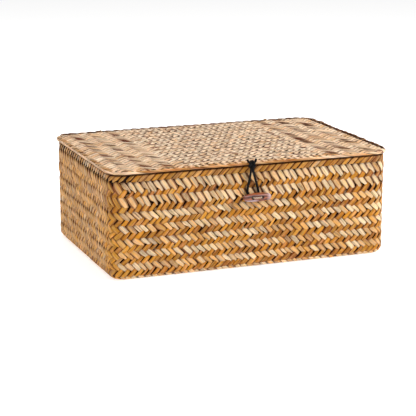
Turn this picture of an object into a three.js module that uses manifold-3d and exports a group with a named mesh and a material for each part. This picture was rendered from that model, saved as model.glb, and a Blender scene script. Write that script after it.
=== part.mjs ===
// Woven lidded box: a plaited box and a plaited lid on two cord stitches.
// A cord loop on the lid goes over a wooden toggle on the box.
// Lengths in mm. Origin at the centre of the base, +X right, -Y the front with the toggle, +Z up.
import * as THREE from "three";
import { mergeVertices } from "three/addons/utils/BufferGeometryUtils.js";
import Module from "manifold-3d";

const wasm = await Module();
wasm.setup();

// Whole box
const lidLength = 310;
const lidDepth = 210;
const lidTopZ = 113;
const lidThickness = 4.6;
const lidOverhang = 2.5;
const lidCornerRadius = 20;
const seamGap = 0.5;
const pieceGap = 0.3;

// Plaited box
const wallThickness = 3.8;
const floorThickness = 4;
const baseEdgeRadius = 7;
const floorEdgeRadius = 4.5;
const boxCornerRadius = 16;
const rowCount = 15;
const rowGroove = 0.8;
const innerRowGroove = 0.5;
const rowLevelShares = [0, 0.22, 0.78];
const innerRowLevelShares = [0, 0.5];

// Folded borders and the wires inside them
const borderHeight = 7.2;
const innerBorderHeight = 6.6;
const borderSkin = 1.1;
const wireDiameter = 2;
const lidWireDiameter = 1.4;
const lidBorderWidth = 5.6;
const lidBorderSkin = 1.3;

// Lid mat
const lidRibPitch = 10.5;
const lidRibGroove = 0.6;
const matCrestDrop = 0.4;
const matBottomGroove = 0.3;
const lidRibShares = [0, 0.25, 0.75];

// Hinge stitches
const stitchX = 100;
const stitchCord = 1.4;
const stitchSlack = 0.15;
const hingeOffset = 0.5;
const hingeDrop = 0.4;
const stitchKnotScale = 0.66;
const stitchTail = 7;
const stitchTailSpread = 2.6;

// Closure cord: its turn round the lid's wire, the knot, the tails and the loop
const closureX = -5.4;
const closureCord = 1.8;
const closureTurnCord = 1.4;
const knotScale = 0.95;
const knotForward = 2.4;
const knotDrop = 3.6;
const tailReach = 5.2;
const tailRise = 4.2;
const tailLean = 0.6;
const loopLeft = -8.6;
const loopRight = 3.4;
const loopTopSpread = 1;
const loopTopDrop = 4.4;
const loopSlack = 0.2;

// Toggle
const toggleX = -0.4;
const toggleDrop = 37;
const toggleLength = 30.6;
const toggleHeight = 8.8;
const toggleThickness = 4.2;
const toggleBevel = 1.1;
const toggleEndShare = 0.3;
const toggleRoundPower = 2.7;
const toggleHoleSpan = 10.1;
const toggleHole = 2.2;
const threadDiameter = 1.4;
const stemDiameter = 2;
const stopperDiameter = 5.6;
const stopperDepth = 3.6;

// Facets: counts only
const cornerSteps = 6;
const arcSteps = 4;
const wireSides = 8;
const cordSides = 7;
const cordStepShare = 0.9;
const tunnelSides = 8;
const ringSteps = 32;
const roundSteps = 20;
const outlineSteps = 36;
const bevelSteps = 3;
const stopperSides = 12;
const stopperSteps = 7;

// Values that follow from the sizes above
const lidHalfX = lidLength / 2;
const lidHalfY = lidDepth / 2;
const boxHalfX = lidHalfX - lidOverhang;
const boxHalfY = lidHalfY - lidOverhang;
const lidBottomZ = lidTopZ - lidThickness;
const boxTopZ = lidBottomZ - seamGap;
const wallTopZ = boxTopZ - borderHeight;
const borderWidth = wallThickness + pieceGap + borderSkin;
const wireRadius = wireDiameter / 2;
const lidWireRadius = lidWireDiameter / 2;
const boxFoldZ = boxTopZ - borderWidth / 2;
const boxWireZ = boxTopZ - borderSkin - pieceGap - wireRadius;
const lidFold = lidThickness / 2;
const knotZ = lidTopZ - knotDrop;
const toggleZ = lidTopZ - toggleDrop;
const closureTurnRadius = lidWireRadius + pieceGap + closureTurnCord / 2;
const lidWireZ = lidTopZ - lidFold;
const hingeY = boxHalfY + hingeOffset;
const hingeZ = boxTopZ - hingeDrop;
const boxWireReach = Math.hypot(hingeOffset + borderWidth / 2, hingeZ - boxWireZ);
const stitchRadius = boxWireReach + wireRadius + pieceGap + stitchCord / 2 + stitchSlack;

// A geometry as a solid for joining and cutting.
function solid(geometry) {
  const bare = geometry.index ? geometry.toNonIndexed() : geometry.clone();
  bare.deleteAttribute("normal");
  bare.deleteAttribute("uv");
  const merged = mergeVertices(bare, 1e-4);
  return new wasm.Manifold(
    new wasm.Mesh({
      numProp: 3,
      vertProperties: merged.attributes.position.array,
      triVerts: new Uint32Array(merged.index.array),
    }),
  );
}

function join(pieces) {
  return pieces.reduce((all, next) => all.add(next));
}

// Pieces of wound cord as one body, with any hollow shut in between them filled.
function joinWound(pieces) {
  return join(join(pieces).decompose().filter((body) => body.volume() > 0));
}

function cut(body, tools) {
  return tools.reduce((left, tool) => left.subtract(tool), body);
}

// A solid as a named mesh with its own material.
function meshOf(name, body, colour, roughness) {
  const { numProp, vertProperties, triVerts } = body.getMesh();
  const positions = new Float32Array((vertProperties.length / numProp) * 3);
  for (let i = 0; i < positions.length / 3; i++) {
    positions.set(vertProperties.subarray(i * numProp, i * numProp + 3), i * 3);
  }
  const geometry = new THREE.BufferGeometry();
  geometry.setAttribute("position", new THREE.BufferAttribute(positions, 3));
  geometry.setIndex(new THREE.BufferAttribute(new Uint32Array(triVerts), 1));
  geometry.computeVertexNormals();
  const material = new THREE.MeshStandardMaterial({ color: colour, roughness, flatShading: true });
  const mesh = new THREE.Mesh(geometry, material);
  mesh.name = name;
  return mesh;
}

// Points of a rounded rectangle drawn in by an inset from the half sizes, counter-clockwise from above.
function planRing(plan, inset) {
  const radius = Math.max(plan.radius - inset, plan.radius / 8);
  const outline = [];
  for (let corner = 0; corner < 4; corner++) {
    const signX = corner === 0 || corner === 3 ? 1 : -1;
    const signY = corner < 2 ? 1 : -1;
    const centreX = signX * (plan.halfX - inset - radius);
    const centreY = signY * (plan.halfY - inset - radius);
    for (let k = 0; k <= cornerSteps; k++) {
      const angle = ((corner + k / cornerSteps) * Math.PI) / 2;
      outline.push([centreX + radius * Math.cos(angle), centreY + radius * Math.sin(angle)]);
    }
  }
  return outline;
}

// A profile of [inset, z] points carried round the plan.
// A closed profile gives a frame, an open one a cup with two flat caps.
function carryRound(plan, profile, closed) {
  const vertices = [];
  const triangles = [];
  const count = 4 * (cornerSteps + 1);
  for (const [inset, z] of profile) {
    for (const [x, y] of planRing(plan, inset)) {
      vertices.push(x, y, z);
    }
  }
  const bands = closed ? profile.length : profile.length - 1;
  for (let i = 0; i < bands; i++) {
    const low = i * count;
    const high = ((i + 1) % profile.length) * count;
    for (let j = 0; j < count; j++) {
      const next = (j + 1) % count;
      triangles.push(low + j, low + next, high + next, low + j, high + next, high + j);
    }
  }
  if (!closed) {
    const last = (profile.length - 1) * count;
    for (let j = 1; j < count - 1; j++) {
      triangles.push(0, j + 1, j, last, last + j, last + j + 1);
    }
  }
  const geometry = new THREE.BufferGeometry();
  geometry.setAttribute("position", new THREE.Float32BufferAttribute(vertices, 3));
  geometry.setIndex(triangles);
  return solid(geometry);
}

// Points along an arc in the profile plane, both ends included.
function arc(centreInset, centreZ, radius, from, to, steps) {
  const points = [];
  for (let k = 0; k <= steps; k++) {
    const angle = from + ((to - from) * k) / steps;
    points.push([centreInset + radius * Math.cos(angle), centreZ + radius * Math.sin(angle)]);
  }
  return points;
}

// One face of the wall from its top down and in under the turned edge, with a groove between the rows.
function rowFace(face) {
  const straight = face.topZ - face.bottomZ - face.edgeRadius;
  const length = straight + (face.edgeRadius * Math.PI) / 2;
  const pitch = length / rowCount;
  const points = [];
  for (let row = 0; row < rowCount; row++) {
    for (const share of face.shares) {
      const along = (row + share) * pitch;
      const depth = share === 0 ? face.groove : 0;
      const angle = Math.max(0, along - straight) / face.edgeRadius;
      const reach = face.edgeRadius - depth;
      const fallen = Math.min(along, straight);
      points.push([
        face.inset + face.edgeRadius - reach * Math.cos(angle),
        face.topZ - fallen - reach * Math.sin(angle),
      ]);
    }
  }
  points.push([face.inset + face.edgeRadius, face.bottomZ]);
  return points;
}

// A round cord along open points, in steps of about its own thickness.
function strand(points, diameter) {
  const path = new THREE.CatmullRomCurve3(points.map((p) => new THREE.Vector3(...p)));
  const steps = Math.ceil((cordStepShare * path.getLength()) / diameter);
  const section = new THREE.Shape();
  for (let k = 0; k < cordSides; k++) {
    const angle = (2 * Math.PI * k) / cordSides;
    const x = (diameter / 2) * Math.cos(angle);
    const y = (diameter / 2) * Math.sin(angle);
    if (k === 0) {
      section.moveTo(x, y);
    } else {
      section.lineTo(x, y);
    }
  }
  section.closePath();
  return solid(new THREE.ExtrudeGeometry(section, { steps, extrudePath: path, bevelEnabled: false }));
}

// A ring of cord in the YZ plane.
function ring(x, y, z, radius, thickness, sides) {
  const torus = new THREE.TorusGeometry(radius, thickness / 2, sides, ringSteps);
  torus.rotateY(Math.PI / 2);
  torus.translate(x, y, z);
  return solid(torus);
}

// The space round a ring of cord, with the gap kept to its flats.
function ringTunnel(x, y, z, radius, thickness) {
  const width = (thickness + 2 * pieceGap) / Math.cos(Math.PI / tunnelSides);
  return ring(x, y, z, radius, width, tunnelSides);
}

// A rod along Y between two Y values.
function rod(x, z, fromY, toY, diameter) {
  const cylinder = new THREE.CylinderGeometry(diameter / 2, diameter / 2, toY - fromY, roundSteps);
  cylinder.translate(x, (fromY + toY) / 2, 0);
  cylinder.translate(0, 0, z);
  return solid(cylinder);
}

// A three-lobed overhand knot facing along Y, wound from three strands of the cord.
function overhand(centre, scale, diameter) {
  const strands = [];
  const lobes = 3;
  const pointsPerLobe = 11;
  const overlapShare = 0.06;
  for (let lobe = 0; lobe < lobes; lobe++) {
    const points = [];
    for (let k = 0; k < pointsPerLobe; k++) {
      const share = (k / (pointsPerLobe - 1)) * (1 + 2 * overlapShare) - overlapShare;
      const t = ((lobe + share) * 2 * Math.PI) / lobes;
      points.push([
        centre[0] + scale * (Math.sin(t) + 2 * Math.sin(2 * t)),
        centre[1] + scale * Math.sin(3 * t),
        centre[2] + scale * (2 * Math.cos(2 * t) - Math.cos(t)),
      ]);
    }
    strands.push(strand(points, diameter));
  }
  return join(strands);
}

const boxPlan = { halfX: boxHalfX, halfY: boxHalfY, radius: boxCornerRadius };
const lidPlan = { halfX: lidHalfX, halfY: lidHalfY, radius: lidCornerRadius };

function hingeTunnels() {
  return [-stitchX, stitchX].map((x) => ringTunnel(x, hingeY, hingeZ, stitchRadius, stitchCord));
}

const closureTurnY = -(lidHalfY - lidFold);

function closureTunnel() {
  return ringTunnel(closureX, closureTurnY, lidWireZ, closureTurnRadius, closureTurnCord);
}

// The plaited box: rows of plait up the wall, a thinned neck inside the border, and the floor.
function boxWeave() {
  const neckOuter = borderSkin + pieceGap;
  const neckTopZ = boxWireZ - wireRadius - pieceGap;
  const outside = rowFace({
    inset: 0,
    topZ: wallTopZ,
    bottomZ: 0,
    edgeRadius: baseEdgeRadius,
    groove: rowGroove,
    shares: rowLevelShares,
  });
  const inside = rowFace({
    inset: wallThickness,
    topZ: wallTopZ,
    bottomZ: floorThickness,
    edgeRadius: floorEdgeRadius,
    groove: -innerRowGroove,
    shares: innerRowLevelShares,
  });
  const profile = [
    ...outside.reverse(),
    [neckOuter, wallTopZ],
    [neckOuter, neckTopZ],
    [wallThickness, neckTopZ],
    ...inside,
  ];
  const shankHole = rod(toggleX, toggleZ, -boxHalfY - wallThickness, -boxHalfY + 3 * wallThickness,
    stemDiameter + 2 * pieceGap);
  return cut(carryRound(boxPlan, profile, false), [...hingeTunnels(), shankHole]);
}

// The strip folded over the box's edge: an upside-down U that hides the wire and the wall's neck.
function boxBorder() {
  const fold = borderWidth / 2;
  const inner = fold - borderSkin;
  const profile = [
    [0, wallTopZ + pieceGap],
    ...arc(fold, boxFoldZ, fold, Math.PI, 0, 2 * arcSteps),
    [borderWidth, boxTopZ - innerBorderHeight],
    [borderWidth - borderSkin, boxTopZ - innerBorderHeight],
    ...arc(fold, boxFoldZ, inner, 0, Math.PI, 2 * arcSteps),
    [borderSkin, wallTopZ + pieceGap],
  ];
  return cut(carryRound(boxPlan, profile, true), hingeTunnels());
}

function wireIn(plan, inset, z, radius) {
  const profile = arc(inset, z, radius, 2 * Math.PI, 0, wireSides).slice(0, wireSides);
  return carryRound(plan, profile, true);
}

// The strip folded round the lid's edge: a C open to the middle that holds the wire and the mat's edge.
function lidBorder() {
  const inner = lidFold - lidBorderSkin;
  const profile = [
    [lidBorderWidth, lidBottomZ],
    ...arc(lidFold, lidWireZ, lidFold, 1.5 * Math.PI, 0.5 * Math.PI, 2 * arcSteps),
    [lidBorderWidth, lidTopZ],
    [lidBorderWidth, lidTopZ - lidBorderSkin],
    ...arc(lidFold, lidWireZ, inner, 0.5 * Math.PI, 1.5 * Math.PI, 2 * arcSteps),
    [lidBorderWidth, lidBottomZ + lidBorderSkin],
  ];
  return cut(carryRound(lidPlan, profile, true), [...hingeTunnels(), closureTunnel()]);
}

// The plaited lid: a mat with ribs from front to back, and a plain thin edge that goes inside the border.
function lidWeave() {
  const edgeInset = lidFold + lidWireRadius + pieceGap;
  const fieldInset = lidBorderWidth + pieceGap;
  const edgeTopZ = lidTopZ - lidBorderSkin - pieceGap;
  const edgeBottomZ = lidBottomZ + lidBorderSkin + pieceGap;
  const edge = carryRound(lidPlan, [[edgeInset, edgeBottomZ], [edgeInset, edgeTopZ]], false);
  const field = carryRound(lidPlan, [[fieldInset, lidBottomZ], [fieldInset, lidTopZ]], false);
  const rim = edge.subtract(field);
  const ribCount = Math.ceil(lidLength / lidRibPitch / 2) * 2;
  const top = [];
  const bottom = [];
  for (let rib = 0; rib < ribCount; rib++) {
    for (const share of lidRibShares) {
      const x = (rib + share - ribCount / 2) * lidRibPitch;
      top.push([x, lidTopZ - matCrestDrop - (share === 0 ? lidRibGroove : 0)]);
      bottom.push([x, edgeBottomZ + (share === 0 ? matBottomGroove : 0)]);
    }
  }
  const outline = new THREE.Shape([...bottom, ...top.reverse()].map(([x, z]) => new THREE.Vector2(x, z)));
  const waves = new THREE.ExtrudeGeometry(outline, { depth: lidDepth, bevelEnabled: false });
  waves.rotateX(Math.PI / 2);
  waves.translate(0, lidHalfY, 0);
  return cut(rim.add(solid(waves).intersect(field)), [...hingeTunnels(), closureTunnel()]);
}

// One hinge stitch: a ring of cord through both edges, tied off inside the box with two tails.
function hingeStitch(x) {
  const loop = ring(x, hingeY, hingeZ, stitchRadius, stitchCord, cordSides);
  const tieY = boxHalfY - borderWidth - pieceGap - stitchKnotScale - stitchCord / 2;
  const tieZ = lidBottomZ - pieceGap - 3 * stitchKnotScale - stitchCord / 2;
  const knot = overhand([x, tieY, tieZ], stitchKnotScale, stitchCord);
  const tailEnds = strand(
    [
      [x - stitchTailSpread, tieY, tieZ - stitchTail],
      [x - stitchTailSpread / 3, tieY, tieZ - stitchTail / 3],
      [x, tieY + stitchCord / 5, tieZ],
      [x + stitchTailSpread / 3, tieY, tieZ - stitchTail / 3],
      [x + stitchTailSpread, tieY, tieZ - stitchTail],
    ],
    stitchCord,
  );
  return joinWound([loop, knot, tailEnds]);
}

const knotY = -(lidHalfY + knotForward);

// The closure cord on the lid: a turn round the wire, the knot in front and two cut tails.
function closureKnot() {
  const turn = ring(closureX, closureTurnY, lidWireZ, closureTurnRadius, closureTurnCord, cordSides);
  const knot = overhand([closureX, knotY, knotZ], knotScale, closureCord);
  const tails = strand(
    [
      [closureX - tailReach, knotY + tailLean, knotZ + tailRise],
      [closureX - tailReach / 2, knotY, knotZ + tailRise / 3],
      [closureX, knotY + closureCord / 4, knotZ],
      [closureX + tailReach / 2, knotY, knotZ + tailRise / 3],
      [closureX + tailReach, knotY + tailLean, knotZ + tailRise],
    ],
    closureCord,
  );
  const lead = strand(
    [
      [closureX, closureTurnY - closureTurnRadius - closureTurnCord / 6, lidWireZ],
      [closureX, knotY, knotZ + closureCord / 6],
    ],
    closureCord,
  );
  return joinWound([turn, lead, knot, tails]);
}

// The loop that hangs from the knot, goes behind the toggle and passes under its shank.
function closureLoop() {
  const topZ = knotZ - loopTopDrop;
  const lieY = -boxHalfY - pieceGap - loopSlack - closureCord / 2;
  const raiseZ = toggleZ + toggleHeight / 2;
  const middleZ = (topZ + raiseZ) / 2;
  const middleY = (knotY + lieY) / 2;
  const bightZ = toggleZ - (stemDiameter + closureCord) / 2 - 2 * pieceGap;
  const bightSide = 2 * closureCord;
  const points = [
    [closureX - loopTopSpread, knotY, topZ],
    [(closureX - loopTopSpread + loopLeft) / 2, middleY, middleZ],
    [loopLeft, lieY, raiseZ],
    [toggleX - bightSide, lieY, bightZ + closureCord / 2],
    [toggleX, lieY, bightZ],
    [toggleX + bightSide, lieY, bightZ + closureCord / 2],
    [loopRight, lieY, raiseZ],
    [(closureX + loopTopSpread + loopRight) / 2, middleY, middleZ],
    [closureX + loopTopSpread, knotY, topZ],
  ];
  return strand(points, closureCord);
}

const toggleStandOff = closureCord + threadDiameter + 4 * pieceGap + 2 * loopSlack;
const toggleBackY = -(boxHalfY + toggleStandOff);

// Outline of the toggle: a long oval drawn out a little towards its blunt ends.
function toggleOutline() {
  const shape = new THREE.Shape();
  const halfLength = toggleLength / 2 - toggleBevel;
  const halfHeight = toggleHeight / 2 - toggleBevel;
  for (let k = 0; k < outlineSteps; k++) {
    const angle = (2 * Math.PI * k) / outlineSteps;
    const c = Math.cos(angle);
    const s = Math.sin(angle);
    const x = halfLength * Math.sign(c) * Math.abs(c) ** (2 / toggleRoundPower);
    const swell = 1 - toggleEndShare * (x / halfLength) ** 2;
    const z = halfHeight * swell * Math.sign(s) * Math.abs(s) ** (2 / toggleRoundPower);
    if (k === 0) {
      shape.moveTo(x, z);
    } else {
      shape.lineTo(x, z);
    }
  }
  shape.closePath();
  return shape;
}

function toggleButton() {
  const slab = new THREE.ExtrudeGeometry(toggleOutline(), {
    depth: toggleThickness - 2 * toggleBevel,
    bevelEnabled: true,
    bevelThickness: toggleBevel,
    bevelSize: toggleBevel,
    bevelSegments: bevelSteps,
  });
  slab.translate(0, 0, toggleBevel);
  slab.rotateX(Math.PI / 2);
  slab.translate(toggleX, toggleBackY, toggleZ);
  const holes = [-1, 1].map((side) =>
    rod(toggleX + (side * toggleHoleSpan) / 2, toggleZ, toggleBackY - 2 * toggleThickness,
      toggleBackY + toggleThickness, toggleHole),
  );
  return cut(solid(slab), holes);
}

// The thread: a bar in front, two strands through the holes, the shank through the wall, the stopper inside.
function toggleThread() {
  const halfSpan = toggleHoleSpan / 2;
  const frontY = toggleBackY - toggleThickness - pieceGap - threadDiameter / 2;
  const backY = toggleBackY + pieceGap + threadDiameter / 2;
  const middleY = (frontY + backY) / 2;
  const bend = threadDiameter / 2;
  const endLap = stemDiameter / 4;
  const insideY = -(boxHalfY - wallThickness - pieceGap);
  const wrap = strand(
    [
      [toggleX + endLap, backY, toggleZ],
      [toggleX - halfSpan + 2 * bend, backY, toggleZ],
      [toggleX - halfSpan, backY - bend, toggleZ],
      [toggleX - halfSpan, middleY, toggleZ],
      [toggleX - halfSpan, frontY + bend, toggleZ],
      [toggleX - halfSpan + 2 * bend, frontY, toggleZ],
      [toggleX, frontY, toggleZ],
      [toggleX + halfSpan - 2 * bend, frontY, toggleZ],
      [toggleX + halfSpan, frontY + bend, toggleZ],
      [toggleX + halfSpan, middleY, toggleZ],
      [toggleX + halfSpan, backY - bend, toggleZ],
      [toggleX + halfSpan - 2 * bend, backY, toggleZ],
      [toggleX - endLap, backY, toggleZ],
    ],
    threadDiameter,
  );
  const stem = rod(toggleX, toggleZ, backY - bend / 2, insideY + stopperDepth / 2, stemDiameter);
  const stopper = new THREE.SphereGeometry(stopperDiameter / 2, stopperSides, stopperSteps);
  stopper.scale(1, stopperDepth / stopperDiameter, 1);
  stopper.translate(toggleX, insideY + stopperDepth / 2, toggleZ);
  return join([wrap, stem, solid(stopper)]);
}

const straw = 0xb98f5a;
const paleStraw = 0xd9bf94;
const goldStraw = 0xa87f47;
const cane = 0x8a6a3e;
const blackCord = 0x1b1a19;
const toggleWood = 0x7a3a26;
const thread = 0x8d6a45;

const part = new THREE.Group();
part.name = "woven_lidded_box";
part.add(
  meshOf("box_weave", boxWeave(), straw, 0.75),
  meshOf("box_border", boxBorder(), goldStraw, 0.7),
  meshOf("box_rim_wire", wireIn(boxPlan, borderWidth / 2, boxWireZ, wireRadius), cane, 0.6),
  meshOf("lid_weave", lidWeave(), paleStraw, 0.7),
  meshOf("lid_border", lidBorder(), paleStraw, 0.65),
  meshOf("lid_rim_wire", wireIn(lidPlan, lidFold, lidWireZ, lidWireRadius), cane, 0.6),
  meshOf("hinge_stitch_left", hingeStitch(-stitchX), straw, 0.8),
  meshOf("hinge_stitch_right", hingeStitch(stitchX), straw, 0.8),
  meshOf("closure_knot", closureKnot(), blackCord, 0.5),
  meshOf("closure_loop", closureLoop(), blackCord, 0.5),
  meshOf("toggle_button", toggleButton(), toggleWood, 0.45),
  meshOf("toggle_thread", toggleThread(), thread, 0.7),
);

export default part;
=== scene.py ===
"""Woven lidded box: the plait laid float by float over the CAD frame. Lengths in mm until they reach a mesh."""

import math

import bmesh
import bpy
import numpy as np
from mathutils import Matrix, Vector


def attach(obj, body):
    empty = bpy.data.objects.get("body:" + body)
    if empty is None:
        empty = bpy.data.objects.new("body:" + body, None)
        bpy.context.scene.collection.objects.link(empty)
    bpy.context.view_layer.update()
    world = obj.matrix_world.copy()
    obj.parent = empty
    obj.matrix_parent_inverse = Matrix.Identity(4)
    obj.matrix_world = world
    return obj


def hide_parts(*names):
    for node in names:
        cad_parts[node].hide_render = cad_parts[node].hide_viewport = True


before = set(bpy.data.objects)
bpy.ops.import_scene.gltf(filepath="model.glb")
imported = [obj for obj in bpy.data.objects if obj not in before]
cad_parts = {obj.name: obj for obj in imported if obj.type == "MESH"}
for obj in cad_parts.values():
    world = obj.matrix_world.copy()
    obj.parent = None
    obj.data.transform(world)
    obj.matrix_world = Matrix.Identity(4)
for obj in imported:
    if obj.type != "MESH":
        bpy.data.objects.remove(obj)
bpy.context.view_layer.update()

MM = 0.001
rng = np.random.default_rng(11)

# Sizes of the CAD model
LID_HALF = (155.0, 105.0)
LID_RADIUS = 20.0
LID_TOP, LID_BOTTOM = 113.0, 108.4
LID_FOLD = (LID_TOP - LID_BOTTOM) / 2
LID_BORDER = 5.6
BOX_HALF = (152.5, 102.5)
BOX_RADIUS = 16.0
BOX_TOP = 107.9
WALL_TOP = 100.7
WALL = 3.8
FLOOR = 4.0
EDGE_RADIUS = 7.0
FLOOR_EDGE_RADIUS = 4.5
BORDER_WIDTH = 5.2
INNER_BORDER = 6.6
PIECE_GAP = 0.3
HINGE = (103.0, 107.5)
STITCH_X = 100.0
STITCH_CORD = 1.4
STITCH_RADIUS = 5.839
STITCH_KNOT = (95.64, 105.42)
STITCH_KNOT_SCALE = 0.66
CLOSURE_X = -5.4
CLOSURE_CORD = 1.8
TURN_CORD = 1.4
TURN_RADIUS = 1.7
TURN = (-102.7, 110.7)
KNOT = (CLOSURE_X, -107.4, 109.4)
KNOT_SCALE = 0.95
TOGGLE = (-0.4, -109.4, 76.0)
TOGGLE_SIZE = (30.6, 4.2, 8.8)
TOGGLE_POWER = 2.7
HOLE_X = (-5.45, 4.65)
HOLE_RADIUS = 1.1
LOOP_SIDES = (-8.6, 3.4)
LOOP_Y = -103.9
LOOP_DROP = 4.4
THREAD = 1.4
STEM = 2.0

# Lengths along the profiles of the walls and of the folded borders
OUTER_STRAIGHT = WALL_TOP - EDGE_RADIUS
INNER_STRAIGHT = WALL_TOP - FLOOR - FLOOR_EDGE_RADIUS
INNER_RUN = INNER_STRAIGHT + FLOOR_EDGE_RADIUS * math.pi / 2
BOX_RISE = BOX_TOP - BORDER_WIDTH / 2 - WALL_TOP - PIECE_GAP
BOX_FOLD_RUN = BOX_RISE + math.pi * BORDER_WIDTH / 2 + INNER_BORDER - BORDER_WIDTH / 2
LID_RISE = LID_BORDER - LID_FOLD
LID_FOLD_RUN = LID_RISE + math.pi * LID_FOLD + LID_RISE

# Depths of the middle of each row of floats on the outer wall, measured down from the border. The first rows have
# wider slits, and the leaf rows are of longer floats that stand steeper. The gap in the border is measured to the
# left from the front's middle, round the corner
ROW_DROPS = (5.2, 12.8, 19.6, 27.4, 34.2, 41.4, 47.8, 55.0, 61.4, 68.2, 74.2, 80.8, 86.6, 93.2, 99.6)
PER_ROW = 138
UPPER_ROWS = 8
LEAF_ROWS = (0, 2)
HIGH_ROWS = 4
CORNER_GAP = 139.0
CORNER_GAP_HALF = 6

# The lid's plait: its underside within the border, how far from the middle the twill reaches, its pitch, the angle in
# radians that it reaches round the rim by, the places past which the back and right borders cover it, and how much
# lower it lies there
LID_UNDER = (LID_HALF[0] - LID_BORDER, LID_HALF[1] - LID_BORDER)
LID_UNDER_RADIUS = LID_RADIUS - LID_BORDER
LID_TWILL = 76
LID_PITCH = 7.2
LID_TURN = 1.35
COVERED = (LID_HALF[0] - 5.8, LID_HALF[1] - 5.8)
COVERED_SINK = 0.9

# The steps between the points along a cord, the kind of the faces of a dark sheet that stands in for shade, and the
# length that the strands' places are spread over, so that no two have the same fibres
CORD_STEP = 0.22
FINE_STEP = 0.2
SHADOW_KIND = 9.0
STRAND_SPREAD = 400

# The photo's width in pixels, the camera's in mm, and what the lamps shine at, in metres
IMAGE_WIDTH = 416
SENSOR_WIDTH = 36
LAMP_TARGET = (0, 0, 0.05)


def placed(name, data):
    """A new object in the scene."""
    ob = bpy.data.objects.new(name, data)
    bpy.context.collection.objects.link(ob)
    return ob


def aimed(ob, direction):
    ob.rotation_mode = "QUATERNION"
    ob.rotation_quaternion = direction.to_track_quat("-Z", "Y")


# Camera


def look(azimuth, elevation, distance, focal_px, target):
    """A camera that looks at the target. The azimuth is from the front towards the right."""
    cam = placed("camera", bpy.data.cameras.new("camera"))
    a, e = math.radians(azimuth), math.radians(elevation)
    back = Vector((math.sin(a) * math.cos(e), -math.cos(a) * math.cos(e), math.sin(e)))
    cam.location = Vector(target) * MM + back * distance * MM
    aimed(cam, -back)
    cam.data.sensor_width = SENSOR_WIDTH
    cam.data.lens = focal_px / IMAGE_WIDTH * SENSOR_WIDTH
    cam.data.clip_end = 50
    cam.data.dof.use_dof = False
    return cam


scene = bpy.context.scene
scene.camera = look(azimuth=-21.14, elevation=13.86, distance=1584.6, focal_px=1460.5, target=(-11.5, 0, 40.5))


# Surfaces that the strips are laid on


def smooth(low, high, value):
    """0 up to low and 1 from high on, with an even curve between. It falls where high is under low."""
    t = np.clip((value - low) / (high - low), 0, 1)
    return t * t * (3 - 2 * t)


def column(a):
    """One value for each strip, or one for all of them, as the first axis of a grid."""
    return np.atleast_1d(a)[:, None, None]


def perimeter(half, radius):
    """The length round a rounded rectangle."""
    return 4 * (half[0] - radius) + 4 * (half[1] - radius) + 2 * math.pi * radius


def plan(u, inset, half, radius):
    """A point of the rounded rectangle and its outward direction, u anticlockwise from the front's middle. Each
    quarter is a straight side, along (ax, ay) and facing (ox, oy), and the corner after it."""
    hx, hy = half[0] - radius, half[1] - radius
    arc = math.pi * radius / 2
    u = np.mod(u + hx, 4 * (hx + hy + arc))
    x, y, nx, ny = (np.zeros_like(u) for _ in range(4))
    at = 0.0
    for quarter, (ox, oy) in enumerate(((0, -1), (1, 0), (0, 1), (-1, 0))):
        ax, ay = -oy, ox
        run = 2 * (abs(ax) * hx + abs(ay) * hy)
        m = (u >= at) & (u < at + run)
        x = np.where(m, ox * half[0] - ax * hx + ax * (u - at) - ox * inset, x)
        y = np.where(m, oy * half[1] - ay * hy + ay * (u - at) - oy * inset, y)
        nx, ny = np.where(m, ox, nx), np.where(m, oy, ny)
        at += run
        m = (u >= at) & (u <= at + arc + 1e-9)
        a = (quarter - 1) * math.pi / 2 + (u - at) / radius
        x = np.where(m, (ax + ox) * hx + (radius - inset) * np.cos(a), x)
        y = np.where(m, (ay + oy) * hy + (radius - inset) * np.sin(a), y)
        nx, ny = np.where(m, np.cos(a), nx), np.where(m, np.sin(a), ny)
        at += arc
    return x, y, nx, ny


def carried(u, inset, z, out, up, h, half, radius):
    """Points of a profile carried round the plan, raised by h along (out, up)."""
    x, y, _, _ = plan(u, inset - h * out, half, radius)
    return np.stack([x, y, z + h * up], -1)


def box_plan(u):
    return plan(u, 0 * u, BOX_HALF, BOX_RADIUS)


def lid_plan(u):
    return plan(u, 0 * u, LID_HALF, LID_RADIUS)


def turned(v, straight, radius, turn):
    """How far a profile has turned at v, after its straight run, and its length past the whole turn."""
    past = v - straight
    return np.clip(past / radius, 0, turn), np.maximum(past - radius * turn, 0)


def wall_outside(u, v, h):
    """v runs down from the top of the plaited wall and in under the base's edge."""
    a, past = turned(v, OUTER_STRAIGHT, EDGE_RADIUS, math.pi / 2)
    inset = EDGE_RADIUS * (1 - np.cos(a)) + past
    z = np.where(v < OUTER_STRAIGHT, WALL_TOP - v, EDGE_RADIUS * (1 - np.sin(a)))
    return carried(u, inset, z, np.cos(a), -np.sin(a), h, BOX_HALF, BOX_RADIUS)


def wall_inside(u, v, h):
    """The same rows on the inner face, h into the box."""
    a, past = turned(v, INNER_STRAIGHT, FLOOR_EDGE_RADIUS, math.pi / 2)
    inset = WALL + FLOOR_EDGE_RADIUS * (1 - np.cos(a)) + past
    z = np.where(v < INNER_STRAIGHT, WALL_TOP - v, FLOOR + FLOOR_EDGE_RADIUS * (1 - np.sin(a)))
    return carried(u, inset, z, -np.cos(a), np.sin(a), h, BOX_HALF, BOX_RADIUS)


def box_fold(u, q, h):
    """Along the folded border of the box, q from its outer lower edge over the top and down inside."""
    radius = BORDER_WIDTH / 2
    a, past = turned(q, BOX_RISE, radius, math.pi)
    inset = radius - radius * np.cos(a)
    z = WALL_TOP + PIECE_GAP + np.minimum(q, BOX_RISE) + radius * np.sin(a) - past
    return carried(u, inset, z, np.cos(a), np.sin(a), h, BOX_HALF, BOX_RADIUS)


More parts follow.
